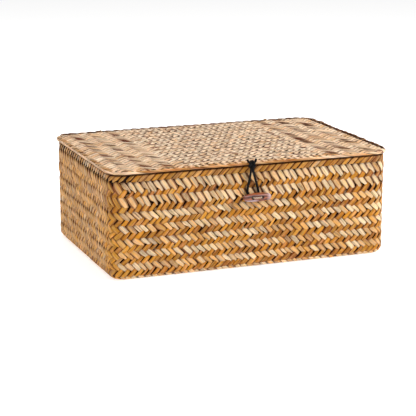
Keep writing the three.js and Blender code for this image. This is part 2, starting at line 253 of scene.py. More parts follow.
def lid_fold(u, q, h):
    """Along the folded border of the lid, q from the top's inner edge round the rim to the underside."""
    a, past = turned(q, LID_RISE, LID_FOLD, math.pi)
    inset = LID_BORDER - np.minimum(q, LID_RISE) - LID_FOLD * np.sin(a) + past
    z = LID_TOP - LID_FOLD + LID_FOLD * np.cos(a)
    return carried(u, inset, z, np.sin(a), np.cos(a), h, LID_HALF, LID_RADIUS)


def flat_surface(z, sign, half, radius, fold=0.0, turn=0.0):
    """A level field. Points past its rounded rectangle are drawn back to its edge, under the border. With a fold
    the edge turns down round it by up to the given angle, except where the back and right borders cover it."""

    def surface(u, v, h):
        cx = np.clip(u, radius - half[0], half[0] - radius)
        cy = np.clip(v, radius - half[1], half[1] - radius)
        reach = np.maximum(np.hypot(u - cx, v - cy), 1e-6)
        level = radius - fold
        if not fold:
            k = np.minimum(1, radius / reach)
            return np.stack([cx + (u - cx) * k, cy + (v - cy) * k, z + sign * h + 0 * u], -1)
        a = np.clip((reach - level) / fold, 0, turn)
        covered = np.maximum(smooth(0.0, 1.5, v - COVERED[1]), smooth(0.0, 1.5, u - COVERED[0]))
        h = h - COVERED_SINK * covered
        a = a * (1 - covered)
        k = (np.minimum(reach, level) + (fold + h) * np.sin(a)) / reach
        return np.stack([cx + (u - cx) * k, cy + (v - cy) * k, z - fold + (fold + h) * np.cos(a)], -1)

    return surface


# Meshes out of grids of points


class Cloth:
    """Collects grids of points and turns them into one mesh."""

    def __init__(self):
        self.grids = {key: [] for key in ("points", "faces", "uv", "tone", "kind", "depth")}
        self.count = 0

    def add(self, points, s, t, tone, kind, flip=False, depth=1.0):
        """Add one or more grids. s and t are the places along and across the strand, in mm. The depth is 1 where the
        colour is left as it is and lower where shade is painted into it.
        """
        n, rows, cols, _ = points.shape
        index = self.count + np.arange(n * rows * cols).reshape(n, rows, cols)
        a, b = index[:, :-1, :-1], index[:, 1:, :-1]
        c, d = index[:, 1:, 1:], index[:, :-1, 1:]
        self.grids["faces"].append(np.stack([a, d, c, b] if flip else [a, b, c, d], -1).reshape(-1, 4))
        self.grids["points"].append(points.reshape(-1, 3))
        self.grids["uv"].append(np.stack(np.broadcast_arrays(s, t), -1).reshape(-1, 2))
        for key, values in (("tone", tone), ("kind", kind), ("depth", depth)):
            self.grids[key].append(np.broadcast_to(values, (n, rows, cols)).reshape(-1))
        self.count += n * rows * cols

    def mesh(self, name, body, slot, *materials):
        """Make the mesh's object. The last material is for the dark sheets that stand in for shade."""
        points, quads, uv, tone, kind, depth = (np.concatenate(grid) for grid in self.grids.values())
        me = bpy.data.meshes.new(name)
        me.vertices.add(len(points))
        me.vertices.foreach_set("co", (points * MM).astype(np.float32).ravel())
        me.loops.add(quads.size)
        me.loops.foreach_set("vertex_index", quads.astype(np.int32).ravel())
        me.polygons.add(len(quads))
        me.polygons.foreach_set("loop_start", np.arange(0, quads.size, 4, dtype=np.int32))
        me.polygons.foreach_set("use_smooth", np.ones(len(quads), bool))
        for material in materials:
            me.materials.append(material)
        last = np.where(kind[quads[:, 0]] == SHADOW_KIND, len(materials) - 1, 0).astype(np.int32)
        me.polygons.foreach_set("material_index", last)
        layer = me.uv_layers.new(name="strand")
        layer.data.foreach_set("uv", uv[quads.ravel()].astype(np.float32).ravel())
        for key, values in (("tone", tone), ("kind", kind), ("depth", depth)):
            me.attributes.new(key, "FLOAT", "POINT").data.foreach_set("value", values.astype(np.float32))
        me.update(calc_edges=True)
        ob = placed(name, me)
        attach(ob, body)
        return ob


# Cords


def circle(count):
    """Angles round a circle."""
    return np.linspace(0, 2 * math.pi, count, endpoint=False)


def lengths(path):
    """The length along the path up to each of its points."""
    return np.concatenate([[0], np.cumsum(np.linalg.norm(np.diff(path, axis=0), axis=1))])


def curve_through(points, step=CORD_STEP, closed=False):
    """A smooth curve through the points, as points about a step apart."""
    p = np.array(points, float)
    if closed:
        p = np.concatenate([p[-1:], p, p[:2]])
    else:
        p = np.concatenate([[2 * p[0] - p[1]], p, [2 * p[-1] - p[-2]]])
    out = []
    for p0, p1, p2, p3 in zip(p[:-3], p[1:-2], p[2:-1], p[3:]):
        d0, d1, d2 = (max(np.linalg.norm(b - a), 1e-6) ** 0.5 for a, b in ((p0, p1), (p1, p2), (p2, p3)))
        m1 = (p2 - p1) + d1 * ((p1 - p0) / d0 - (p2 - p0) / (d0 + d1))
        m2 = (p2 - p1) + d1 * ((p3 - p2) / d2 - (p3 - p1) / (d1 + d2))
        t = np.linspace(0, 1, 24, endpoint=False)[:, None]
        out.append((2 * t**3 - 3 * t**2 + 1) * p1 + (t**3 - 2 * t**2 + t) * m1
                   + (3 * t**2 - 2 * t**3) * p2 + (t**3 - t**2) * m2)
    out = np.concatenate([*out, p[-2:-1]])
    run = lengths(out)
    at = np.linspace(0, run[-1], max(int(run[-1] / step), 4) + 1)
    return np.stack([np.interp(at, run, out[:, k]) for k in range(3)], -1)


def trefoil(centre, scale):
    """An overhand knot pulled round, seen from the front."""
    t = circle(60)
    x = centre[0] + scale * (np.sin(t) + 2 * np.sin(2 * t))
    y = centre[1] + scale * np.sin(3 * t)
    z = centre[2] + scale * (2 * np.cos(2 * t) - np.cos(t))
    return curve_through(np.stack([x, y, z], -1), FINE_STEP, closed=True)


def hoop(x, centre, radius):
    """A ring in the plane across the long side."""
    t = circle(40)
    points = np.stack([x + 0 * t, centre[0] + radius * np.cos(t), centre[1] + radius * np.sin(t)], -1)
    return curve_through(points, closed=True)


def braid(across, along, radius):
    """Relief of a round braid of eight strands: 0 in its grooves, 1 on its strands."""
    turns = across * 4 / math.pi
    rise = along / (radius * 1.5)
    return 0.5 + 0.5 * np.sin((turns + rise) * math.pi) * np.sin((turns - rise) * math.pi)


def twist(across, along, radius):
    """Relief of a cord laid from three yarns."""
    return np.abs(np.cos(1.5 * (across - along / (radius * 1.6))))


def tube(cloth, path, diameter, relief, depth=0.16, closed=False):
    """A cord along the path with its braid or twist in relief. The relief is kept as the tone, for the shade painted
    in its grooves.
    """
    tangent = np.gradient(path, axis=0)
    if closed:
        tangent[0] = tangent[-1] = path[1] - path[-2]
    tangent /= np.linalg.norm(tangent, axis=1)[:, None]
    side = np.zeros_like(path)
    first = np.cross(tangent[0], (0.3, 0.5, 0.81))
    side[0] = first / np.linalg.norm(first)
    for k in range(1, len(path)):
        v = side[k - 1] - tangent[k] * np.dot(side[k - 1], tangent[k])
        side[k] = v / np.linalg.norm(v)
    up = np.cross(tangent, side)
    turn = 0.0
    if closed:
        turn = math.atan2(np.dot(side[-1], up[0]), np.dot(side[-1], side[0]))
    along = lengths(path)
    around = np.linspace(0, 2 * math.pi, 25)
    a = around[None, :] - turn * (along / along[-1])[:, None]
    radius = diameter / 2
    height = relief(around[None, :], along[:, None], radius)
    ends = 1.0
    if not closed:  # Rounded ends
        near = np.minimum(along, along[-1] - along)[:, None] / (radius * 0.7)
        ends = np.sqrt(np.clip(1 - (1 - np.clip(near, 0, 1)) ** 2, 0.02, 1))
    r = radius * (1.04 - depth + depth * height) * ends
    out = side[:, None, :] * np.cos(a)[..., None] + up[:, None, :] * np.sin(a)[..., None]
    points = path[:, None, :] + out * r[..., None]
    cloth.add(points[None], along[None, :, None] + 0 * r[None], radius * around[None, None, :] + 0 * r[None],
              height[None], 0.0, flip=True)


# Materials


def linear(colour):
    """A colour in linear light, with its opacity, out of parts in 0 to 255."""
    return (*(c / 255 / 12.92 if c <= 10.3 else ((c / 255 + 0.055) / 1.055) ** 2.4 for c in colour), 1)


def step(operation, swapped=False):
    """A method that adds one node, which reckons with the value and with what the method is given."""

    def method(self, *others):
        values = (self, *others)
        return self.shader.maths(operation, *(values[::-1] if swapped else values))

    return method


class Value:
    """A shader node's output, to reckon with like a number."""

    def __init__(self, shader, socket):
        self.shader, self.socket = shader, socket

    def clamped(self):
        """The same value, kept between 0 and 1."""
        self.socket.node.use_clamp = True
        return self

    __add__ = step("ADD")
    __sub__ = step("SUBTRACT")
    __rsub__ = step("SUBTRACT", swapped=True)
    __mul__ = step("MULTIPLY")
    __truediv__ = step("DIVIDE")
    __pow__ = step("POWER")
    __abs__ = step("ABSOLUTE")
    line = step("MULTIPLY_ADD")


class Shader:
    """A material and the nodes that it is made of."""

    def __init__(self, name):
        self.material = bpy.data.materials.new(name)
        self.material.use_nodes = True
        self.tree = self.material.node_tree

    def put(self, node, inputs):
        """Set inputs of a node, each to a number, a list, a colour in 0 to 255 or another node's value."""
        for key, value in inputs.items():
            if isinstance(value, Value):
                self.tree.links.new(value.socket, node.inputs[key])
            else:
                node.inputs[key].default_value = linear(value) if isinstance(value, tuple) else value

    def node(self, kind, inputs, output=0, **settings):
        node = self.tree.nodes.new("ShaderNode" + kind)
        for key, value in settings.items():
            setattr(node, key, value)
        self.put(node, inputs)
        return Value(self, node.outputs[output])

    def maths(self, operation, *values):
        return self.node("Math", dict(enumerate(values)), operation=operation)

    def mixed(self, factor, a, b, blend="MIX"):
        return self.node("Mix", {0: factor, 6: a, 7: b}, 2, data_type="RGBA", blend_type=blend)

    def ramp(self, factor, stops):
        colour = self.node("ValToRGB", {0: factor})
        elements = colour.socket.node.color_ramp.elements
        while len(elements) < len(stops):
            elements.new(0.5)
        for element, (position, shade) in zip(elements, stops):
            element.position, element.color = position, linear(shade)
        return colour

    def joined(self, *values):
        return self.node("CombineXYZ", dict(enumerate(values)))

    def noise(self, vector, scale, detail=3, rough=0.55):
        if isinstance(vector, tuple):
            vector = self.joined(*vector)
        return self.node("TexNoise", {"Vector": vector, "Scale": scale, "Detail": detail, "Roughness": rough})

    def attribute(self, name):
        return self.node("Attribute", {}, "Fac", attribute_name=name)

    def parts(self, vector):
        node = self.node("SeparateXYZ", {0: vector}).socket.node
        return [Value(self, socket) for socket in node.outputs]

    def strand(self):
        """The places along and across a strip or a cord, in mm."""
        return self.parts(self.node("UVMap", {}, uv_map="strand"))[:2]

    def position(self):
        return self.node("TexCoord", {}, "Object")

    def finish(self, inputs, height=None, strength=0.0, distance=0.0):
        """The material, with these inputs of its surface and with a bump, whose distance is in metres."""
        surface = self.tree.nodes["Principled BSDF"]
        self.put(surface, inputs)
        if height is not None:
            bump = self.node("Bump", {"Strength": strength, "Distance": distance, "Height": height})
            self.put(surface, {"Normal": bump})
        return self.material


def straw(name, palette, half_width, rough=0.5, stalk_width=1.35, contrast=0.5, edge_shade=0.5, spread=0.4,
          hollow_shade=((34, 14, 6), (34, 14, 6)), pinkness=2.2):
    """Flattened stalks side by side: a colour for each strip and stalk, fine lines along them, and painted shade
    along each strip's edges and where it dives under its neighbours.
    """
    shader = Shader(name)
    along, across = shader.strand()
    tone, kind, depth = (shader.attribute(key) for key in ("tone", "kind", "depth"))
    seed = tone * 37.0
    # Stalks
    place = across / stalk_width + seed
    cell = shader.maths("FLOOR", place)
    within = abs(shader.maths("FRACT", place) - 0.5)
    chance = {"Vector": shader.joined(cell, seed, 0.0)}
    stalk = shader.node("TexWhiteNoise", chance, "Value", noise_dimensions="3D")
    seam = (within * 2.0) ** 6.0
    fibre = shader.noise((along * 0.08, across, seed), 2.1, 3, 0.7)
    blotch = shader.noise((along * 0.35, across, seed), 0.45, 2, 0.5)
    # Hue: pale to golden, drifting to pink and to green
    colour = shader.ramp((kind + stalk.line(0.3, -0.15)).clamped(), palette)
    drift = shader.noise((seed, cell, along * 0.05), 1.7, 1)
    pink = ((drift - 0.5).clamped() * pinkness).clamped()
    green = ((0.47 - drift).clamped() * 2.6).clamped()
    colour = shader.mixed(pink, colour, (228, 168, 132))
    colour = shader.mixed(green, colour, (176, 146, 88))
    # Lightness: strip by strip, stalk by stalk and fibre by fibre, darker in the seams, with painted shade along the
    # strip's edges
    level = tone.line(spread, 1.06 - spread * 0.5) + blotch.line(0.5, -0.25)
    level = level + stalk.line(contrast, -contrast * 0.5) + fibre.line(contrast * 1.4, -contrast * 0.7)
    level = level * seam.line(-0.3, 1.0)
    # Painted shade along the strip's long edges, as strong as the edge shade
    rim = shader.maths("MINIMUM", abs(across) / half_width, 1.0) ** 5.0
    level = level * rim.line(-edge_shade, 1.0)
    colour = shader.mixed(1.0, colour, shader.maths("MAXIMUM", level, 0.15), "MULTIPLY")
    # The darker strips and stalks and the painted edge shade turn a warmer brown
    colour = shader.mixed((0.75 - level).clamped() * 1.4, colour, (132, 62, 20))
    # Painted shade, in the hollow shade colours, where the depth attribute is low: where floats dive, along their
    # steps and at their ends
    colour = shader.mixed((1.0 - depth).clamped() * 0.95, colour, shader.mixed(tone, *hollow_shade))
    return shader.finish({"Base Color": colour, "Roughness": fibre.line(0.35, rough - 0.17),
                          "Specular IOR Level": 0.18}, fibre - seam * 0.6, 0.5, 0.00035)


def cordage(name, groove, yarn, rough, specular, sheen=0.0):
    """Cord: shade painted in the grooves of its lay, fine filaments along the yarns."""
    shader = Shader(name)
    along, across = shader.strand()
    filament = shader.noise((along * 2.0, across * 9.0, 0.0), 1.3)
    # Patches that shift the painted groove shade against the yarn colour
    shade_variation = shader.noise((along * 0.25, across, 3.0), 0.6, 2)
    high = shader.attribute("tone") * filament.line(0.6, 0.6)
    high = (high + shade_variation.line(0.3, -0.15)).clamped()
    return shader.finish({"Base Color": shader.ramp(high, [(0.05, groove), (0.75, yarn)]),
                          "Roughness": filament.line(0.3, rough - 0.15), "Specular IOR Level": specular,
                          "Sheen Weight": sheen}, filament, 0.4, 0.0001)


def wood(name, dark, middle, light, rough, grain=1.0, toggle_centre=None):
    """Wood with its grain along X. Where a toggle's middle is given, a pale violet grey highlight is painted along its
    bevels, low on its left and at its right end, its top edge is orange, and shade is painted in and round its holes."""
    shader = Shader(name)
    x, y, z = (part * (1000.0 * grain) for part in shader.parts(shader.position()))
    wander = shader.noise((x * 0.12, y, z), 0.35)
    level = wander.line(5.0, z * 0.55)
    rings = shader.maths("SINE", level * 3.2).line(0.5, 0.5)
    pores = shader.noise((x * 0.2, y * 3.0, z * 3.0), 1.6, 3, 0.7)
    colour = shader.ramp((rings * 0.6 + pores.line(0.9, -0.25)).clamped(), [(0.1, dark), (0.5, middle), (0.95, light)])
    if toggle_centre is not None:
        length, _, height = TOGGLE_SIZE
        dx = (x - toggle_centre[0]) / (length / 2)
        dz = (z - toggle_centre[2]) / (height / 2)
        # Painted highlight, pale violet grey, along the upper bevel, low on the left and at the right end
        bevel = (1.0 - abs(dz - 0.52) * 7.0).clamped()
        below = dz.line(-4.0, -1.4).clamped() * dx.line(-3.0, 0.4).clamped()
        right_end = dx.line(5.0, -3.2).clamped()
        painted_highlight = shader.maths("MAXIMUM", bevel * 0.8, shader.maths("MAXIMUM", below, right_end))
        painted_highlight = painted_highlight * wander.line(2.4, -0.45).clamped()
        colour = shader.mixed(painted_highlight * 0.9, colour, (186, 162, 168))
        top = ((dz - 0.82).clamped() * 7.0).clamped()
        colour = shader.mixed(top * 0.8, colour, (196, 104, 48))
        # Painted shade in and round the holes
        for hole in HOLE_X:
            reach = shader.maths("SQRT", (x - hole) ** 2.0 + (z - toggle_centre[2]) ** 2.0)
            painted_shade = ((HOLE_RADIUS * 2 - reach) * 1.6).clamped()
            colour = shader.mixed(painted_shade * 0.9, colour, (34, 16, 12))
    return shader.finish({"Base Color": colour, "Roughness": pores.line(0.35, rough - 0.17),
                          "Specular IOR Level": 0.5}, pores + rings * 0.3, 0.35, 0.00015)


# Mottled near black, for the sheets that stand in for the shade behind the strips
def shadow_sheet(name):
    shader = Shader(name)
    painted_shade = shader.noise(shader.position(), 400)
    return shader.finish({"Base Color": shader.ramp(painted_shade, [(0.3, (12, 5, 2)), (0.7, (46, 24, 10))]),
                          "Roughness": 0.9, "Specular IOR Level": 0.1})


PITCH = perimeter(BOX_HALF, BOX_RADIUS) / PER_ROW
STRIP = PITCH / math.sqrt(2)
BOX_STRAW = [(0.0, (212, 190, 156)), (0.3, (200, 150, 90)), (0.6, (188, 130, 42)),
             (0.85, (176, 112, 14)), (1.0, (140, 82, 8))]
BORDER_STRAW = [(0.0, (204, 182, 150)), (0.3, (186, 138, 86)), (0.6, (168, 116, 46)),
                (0.85, (156, 100, 18)), (1.0, (128, 74, 8))]
RIM_STRAW = [(0.0, (230, 204, 174)), (0.4, (222, 180, 138)), (0.7, (192, 136, 76)),
             (1.0, (150, 92, 38))]
LID_STRAW = [(0.0, (248, 226, 198)), (0.4, (238, 200, 160)), (0.7, (206, 150, 86)),
             (1.0, (160, 98, 40))]
box_straw = straw("straw_box", BOX_STRAW, STRIP / 2, edge_shade=0.6, spread=0.42, contrast=0.68, pinkness=1.4,
                  hollow_shade=((76, 28, 4), (50, 18, 4)))
border_straw = straw("straw_border", BORDER_STRAW, STRIP / 2, spread=0.5, contrast=0.9, edge_shade=0.9, pinkness=0.7)
lid_straw = straw("straw_lid", LID_STRAW, STRIP * 0.48, rough=0.6, contrast=0.45, spread=0.2, edge_shade=0.4,
                  hollow_shade=((128, 38, 12), (60, 30, 14)))
rim_straw = straw("straw_lid_rim", RIM_STRAW, 2.0, rough=0.5, stalk_width=1.0, edge_shade=0.7, spread=0.5, contrast=0.6)
black_cord = cordage("cord_black", (1, 1, 1), (6, 6, 9), 0.55, 0.14)
tan_cord = cordage("cord_tan", (104, 70, 40), (196, 160, 112), 0.75, 0.2, 0.2)
thread_tan = cordage("thread_tan", (96, 66, 48), (206, 180, 156), 0.6, 0.3, 0.1)
cane = wood("cane", (110, 80, 42), (158, 124, 72), (192, 160, 104), 0.6, grain=0.6)
toggle_wood = wood("toggle_wood", (50, 22, 14), (112, 56, 38), (176, 100, 62), 0.3, toggle_centre=TOGGLE)
shadow = shadow_sheet("plait_shadow")
BOX_PLAIT = ("box", "box_plait", box_straw, shadow)
LID_PLAIT = ("lid", "lid_plait", lid_straw, shadow)


# The closure's cord: loop, knot and the turn through the lid's rim

knot_x, knot_y, knot_z = KNOT
loop_top = knot_z - LOOP_DROP
toggle_top = TOGGLE[2] + TOGGLE_SIZE[2] / 2
bight = TOGGLE[2] - (STEM + CLOSURE_CORD) / 2 - 2 * PIECE_GAP


def loop_strand(sign, side_x):
    """One strand of the loop, from inside the knot to the bend behind the toggle."""
    return [
        (knot_x + sign * 1.25, knot_y, loop_top + 2.2),
        (knot_x + sign, knot_y, loop_top),
        ((knot_x + sign + side_x) / 2, (knot_y + LOOP_Y) / 2, (loop_top + toggle_top) / 2),
        (side_x, LOOP_Y, toggle_top),
        (TOGGLE[0] + sign * 2 * CLOSURE_CORD, LOOP_Y, bight + CLOSURE_CORD / 2),
    ]


left_strand, right_strand = loop_strand(-1, LOOP_SIDES[0]), loop_strand(1, LOOP_SIDES[1])
loop_path = curve_through([*left_strand, (TOGGLE[0], LOOP_Y, bight), *right_strand[::-1]])
loop = Cloth()
tube(loop, loop_path, CLOSURE_CORD * 1.35, braid)
closure_loop = loop.mesh("closure_loop_cord", "loop", "closure_cord", black_cord)
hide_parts("closure_loop")

knot = Cloth()
knot_cord = CLOSURE_CORD * 1.3
tube(knot, trefoil((knot_x, knot_y, knot_z + 0.4), KNOT_SCALE * 1.2), knot_cord, braid, closed=True)
tails = [(knot_x - 5.3, -106.8, 115.2), (knot_x - 2.9, knot_y - 0.3, 112.0), (knot_x, knot_y + 0.45, knot_z + 0.6),
         (knot_x + 2.9, knot_y - 0.3, 112.0), (knot_x + 4.9, -106.8, 115.6)]
tube(knot, curve_through(tails), knot_cord, braid)
tube(knot, hoop(CLOSURE_X, TURN, TURN_RADIUS), TURN_CORD, braid, closed=True)
link = [(knot_x, -104.6, TURN[1]), (knot_x, -106.0, 110.3), (knot_x, knot_y, 109.7)]
tube(knot, curve_through(link), CLOSURE_CORD * 0.9, braid)
closure_knot = knot.mesh("closure_knot_cord", "lid", "closure_cord", black_cord)
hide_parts("closure_knot")


# The hinge's stitches

for side, label in ((-1, "left"), (1, "right")):
    x = side * STITCH_X
    tie_y, tie_z = STITCH_KNOT
    stitch = Cloth()
    tube(stitch, hoop(x, HINGE, STITCH_RADIUS), STITCH_CORD, twist, closed=True)
    tube(stitch, trefoil((x, tie_y, tie_z), STITCH_KNOT_SCALE), STITCH_CORD, twist, closed=True)
    tails = [(x - 2.6, tie_y, 98.42), (x - 0.87, tie_y, 103.09), (x, tie_y + 0.28, tie_z),
             (x + 0.87, tie_y, 103.09), (x + 2.6, tie_y, 98.42)]
    tube(stitch, curve_through(tails), STITCH_CORD, twist)
    hinge_cord = stitch.mesh(f"hinge_stitch_{label}_cord", "box", "hinge_cord", tan_cord)
    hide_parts(f"hinge_stitch_{label}")


# The toggle and its thread

# Rings from the front to the back: the place in the toggle's thickness, with the share of its half height, and with
# the radius of a hole
TOGGLE_RINGS = ((-1.0, 0.22), (-1.0, 0.60), (-0.97, 0.80), (-0.80, 0.925), (-0.45, 0.985), (0.0, 1.0),
                (0.45, 0.985), (0.80, 0.93), (0.97, 0.83), (1.0, 0.62), (1.0, 0.25))
HOLE_RINGS = ((-1.3, 2.4), (-1.0, 1.9), (-0.86, 1.45), (-0.6, HOLE_RADIUS * 1.1), (0.6, HOLE_RADIUS * 1.1),
              (0.86, 1.28), (1.0, 1.6), (1.3, 2.1))
tx, ty, tz = TOGGLE
half_x, half_y, half_z = (s / 2 for s in TOGGLE_SIZE)


def solid_of_rings(name, x, rings, count, power):
    """A closed mesh round a line through the toggle at x, capped at each end. A ring has its place in the thickness,
    its half width and its half height, and with a power over 2 it is squarish."""
    t = circle(count)
    c, s = (np.sign(way) * np.abs(way) ** (2 / power) for way in (np.cos(t), np.sin(t)))
    verts = np.concatenate([np.stack([x + c * wide, ty + lift * half_y + 0 * c, tz + s * high], -1)
                            for lift, wide, high in rings])
    faces = [(first + k, first + (k + 1) % count, first + count + (k + 1) % count, first + count + k)
             for first in range(0, len(verts) - count, count) for k in range(count)]
    faces += [tuple(range(count))[::-1], tuple(range(len(verts) - count, len(verts)))]
    me = bpy.data.meshes.new(name)
    me.from_pydata(verts * MM, [], faces)
    bm = bmesh.new()
    bm.from_mesh(me)
    bmesh.ops.recalc_face_normals(bm, faces=bm.faces)
    bm.to_mesh(me)
    bm.free()
    return placed(name, me)


rings = [(lift, half_x - (1 - share) * half_z, half_z - (1 - share) * half_z) for lift, share in TOGGLE_RINGS]
toggle = solid_of_rings("toggle_bar", tx, rings, 96, TOGGLE_POWER)
for x in HOLE_X:
    cutter = solid_of_rings("cutter", x, [(lift, r, r) for lift, r in HOLE_RINGS], 40, 2)
    boolean = toggle.modifiers.new("hole", "BOOLEAN")
    boolean.operation = "DIFFERENCE"
    boolean.object = cutter
    boolean.solver = "EXACT"
    bpy.context.view_layer.update()
    evaluated = toggle.evaluated_get(bpy.context.evaluated_depsgraph_get())
    pierced = bpy.data.meshes.new_from_object(evaluated)
    toggle.modifiers.clear()
    toggle.data = pierced
    bpy.data.objects.remove(cutter)
toggle.data.materials.clear()
toggle.data.materials.append(toggle_wood)
toggle.data.polygons.foreach_set("use_smooth", np.ones(len(toggle.data.polygons), bool))
toggle.data.set_sharp_from_angle(angle=math.radians(48))
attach(toggle, "toggle")
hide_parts("toggle_button")

# The thread's way across the front of the toggle and behind it, by the places from each hole inward
left, right = HOLE_X
front_y, back_y = -112.45, -106.35
over = ((0.45, ty), (0.65, front_y + 1.6), (1.35, front_y + 0.6), (2.8, front_y))
behind = ((0.0, back_y - 1.3), (0.5, back_y - 0.3), (1.7, back_y))
way = [(left + x, y, tz) for x, y in over] + [(right - x, y, tz) for x, y in over[::-1]]
way += [(right - x, y, tz) for x, y in behind] + [(left + x, y, tz) for x, y in behind[::-1]]
thread = Cloth()
tube(thread, curve_through(way, FINE_STEP, closed=True), THREAD, twist, depth=0.2, closed=True)
tube(thread, curve_through([(tx, y, tz) for y in (-106.6, -103.0, -99.0, -95.6)], FINE_STEP), STEM, twist)
t = circle(30)
for number, spread in enumerate((1.05, 1.75, 1.25)):
    wound = np.stack([tx + spread * np.cos(t), -97.6 + 1.05 * number + 0.2 * np.sin(t), tz + spread * np.sin(t)], -1)
    tube(thread, curve_through(wound, FINE_STEP, closed=True), STEM * 0.95, twist, closed=True)
toggle_thread = thread.mesh("toggle_thread_cord", "toggle", "thread", thread_tan)
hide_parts("toggle_thread")


# Strips


def across_strip(count, skirt=True):
    """Places across a strip from edge to edge. With a skirt its edges come twice, marked where they hang down."""
    t, drop = np.linspace(-1, 1, count), np.zeros(count)
    if skirt:
        t, drop = np.concatenate([[-1.0], t, [1.0]]), np.concatenate([[1.0], drop, [1.0]])
    return t[None, None, :], drop[None, None, :]


def floats(cloth, surface, cu, cv, angle, half_length, width, crest, kind, base=-0.5, crown=0.34, taper=0.0,
           ns=9, nt=5, skirt=0.62, flip=False, roll=0.0, dark=(0.4, 1.0), dive=(1.0, 1.3), end=1.0, slit=None,
           nip=0.0, step=(0.0, 0.0), rare=1.0, tip=0.0, raised=0.0, short=0.0):
    """Floats centred at (cu, cv). The angle is from +u towards +v. The start of each dives under its neighbours within
    half its length times dive[0], its far end within dive[1], and shade is painted where they dive, by between dark[0]
    and dark[1], more at the start. With a higher end each stays level for longer. The slit is a gap along one long
    edge of
    some: its greatest width, the edge, and where it begins and is widest. The nip is how much the start is narrowed,
    the step how much shade is painted along the long edges at least and at most, the tip how much shade is painted at
    the far end. The higher rare is, the fewer dives and steps get dark painted shade. Floats with the darkest painted
    steps lean over by raised, and the painted shade on the steps ends sooner by short."""
    n = len(cu)
    angle = angle + rng.normal(0, 0.05, n)
    half_length = half_length * (1 + rng.normal(0, 0.04, n))
    width = width * (1 - np.abs(rng.normal(0, 0.04, n)))
    cu = cu + rng.normal(0, 0.2, n)
    cv = cv + rng.normal(0, 0.16, n)
    crest = crest + rng.normal(0, 0.08, n)
    chance = rng.random(n) ** rare
    lean = roll * (1 + rng.random(n) ** 4) + raised * smooth(0.3, 0.8, chance)
    lean = lean + rng.normal(0, 0.04, n)
    # Shape
    t1, drop = across_strip(nt, skirt > 0)
    half = column(half_length)
    s = np.linspace(-1, 1, ns)[None, :, None] * (half + 2.0)
    away = np.abs(s) / half
    reach = half * np.where(s < 0, column(dive[0]), column(dive[1]))
    lift = np.cos(np.minimum((np.abs(s) / reach) ** end, 1.62) * math.pi / 2)
    across = t1 * column(width) / 2
    t = across * np.clip(1 - away**2 * taper, 0.2, 1)
    t = t * (1 - column(nip) * smooth(0.1, 1.0, -s / half))
    if slit is not None:
        widest, edge, low, high = slit
        gap = column(widest * rng.random(n) ** 2.5) * smooth(low, high, s / half)
        t = t - edge * gap * np.clip(edge * t1, 0, 1)
    relief = column(crest) * lift - crown * t1**2 - skirt * drop
    ca, sa = np.cos(column(angle)), np.sin(column(angle))
    points = surface(column(cu) + s * ca - t * sa, column(cv) + s * sa + t * ca, base + relief + column(lean) * t)
    # Painted shade: where each dives under its neighbours, along its steps and at its far end
    tone = column(rng.random(n))
    strength = column(dark[0] + (dark[1] - dark[0]) * rng.random(n) ** rare)
    depth = 1 - strength * (1 - smooth(-0.45, 0.35, relief)) * np.where(s < 0, 1, 0.45)
    step_shade = column(step[0] + (step[1] - step[0]) * chance)
    step_shade_place = drop + 0.9 * (t1 == -1) * (1 - drop) * smooth(0.55, 0.95, step_shade)
    sooner = column(short)
    depth = np.minimum(depth, 1 - step_shade * step_shade_place * smooth(1.0 - sooner, 0.6 - sooner, away))
    depth = np.minimum(depth, 1 - column(tip) * smooth(0.74, 0.84, s / half))
    along = s + column(rng.random(n)) * STRAND_SPREAD
    cloth.add(points, along, across + 0 * s, tone, column(kind), flip, depth)


def slanted(cloth, surface, count, length, run, slope, width, kind, crest, base, shingle, flip=False, ns=16,
            keep=None, vary=None, dark=0.6, groove=None, first=-0.3, start=0.0, variety=0.1, fade=None,
            browning=(0, 1, 0.0), sink=(0, 1, 0.0)):
    """Strips that cross a fold at a slant. The slope is the run along the edge for each mm of the fold. From the place
    along the edge vary tells the kind, the nip, by which the outer end is narrowed, and the waist, by which the rest
    is. The dark is how much shade is painted along their edges. The groove shade is where shade is painted on the
    strips in the fold, the browning shade and the sink are where they turn browner with painted shade and lie lower
    and by how much, and the fade is where the painted shade along their edges ends."""
    q = np.linspace(first, run, ns)[None, :, None]
    t1, drop = across_strip(5)
    w = width * (1 - np.abs(rng.normal(0, 0.05, count)))
    u0 = start + np.arange(count) * length / count + rng.normal(0, 0.3, count)
    tilt = slope + rng.normal(0, 0.05, count)
    if keep is not None:
        chosen = keep(np.mod(u0 + slope * run / 2, length))
        w, u0, tilt = w[chosen], u0[chosen], tilt[chosen]
    n = len(u0)
    # Shape
    longer = math.sqrt(1 + slope**2)
    kind, nip, waist = vary(u0) if vary else (kind, 0.0, 0.0)
    t = t1 * column(w) / 2 * (1 - column(nip) * smooth(2.8, 0.0, q))
    t = t * (1 - column(waist) * smooth(0.6, 3.0, q))
    u = column(u0) + q * column(tilt) + t * longer
    h = base + crest * (1 - t1**2) + column(shingle * (1 + rng.normal(0, 0.3, n))) * t1 - 0.7 * drop
    low, high, amount = sink
    h = h + column(rng.normal(0, 0.04, n)) - amount * smooth(low, high, q)
    points = surface(u, q + 0 * u, h + 0 * u)
    # Kinds, and painted shade along the edges and in the fold's groove
    low, high, more = browning
    kinds = column(np.clip(kind + rng.normal(0, variety, n), 0, 1))
    kinds = np.clip(kinds + more * smooth(low, high, q), 0, 1)
    # Without a fade the painted shade along the edges is at random 40% to full strength; with one it is from none to
    # full and fades out past the fade
    least, shade_variation = (0.4, 1) if fade is None else (0.0, smooth(fade[1], fade[0], q))
    depth = 1 - dark * drop * column(rng.uniform(least, 1, n)) * shade_variation
    # Painted shade where the strips lie in the fold's groove
    if groove is not None:
        low, high = groove
        depth = depth * (1 - 0.8 * smooth(low, low + 1, q) * (1 - smooth(high - 1, high, q)))
    along = q * longer + 0 * u + column(rng.random(n)) * STRAND_SPREAD
    cloth.add(points, along, t, column(rng.random(n)), kinds, flip, depth)


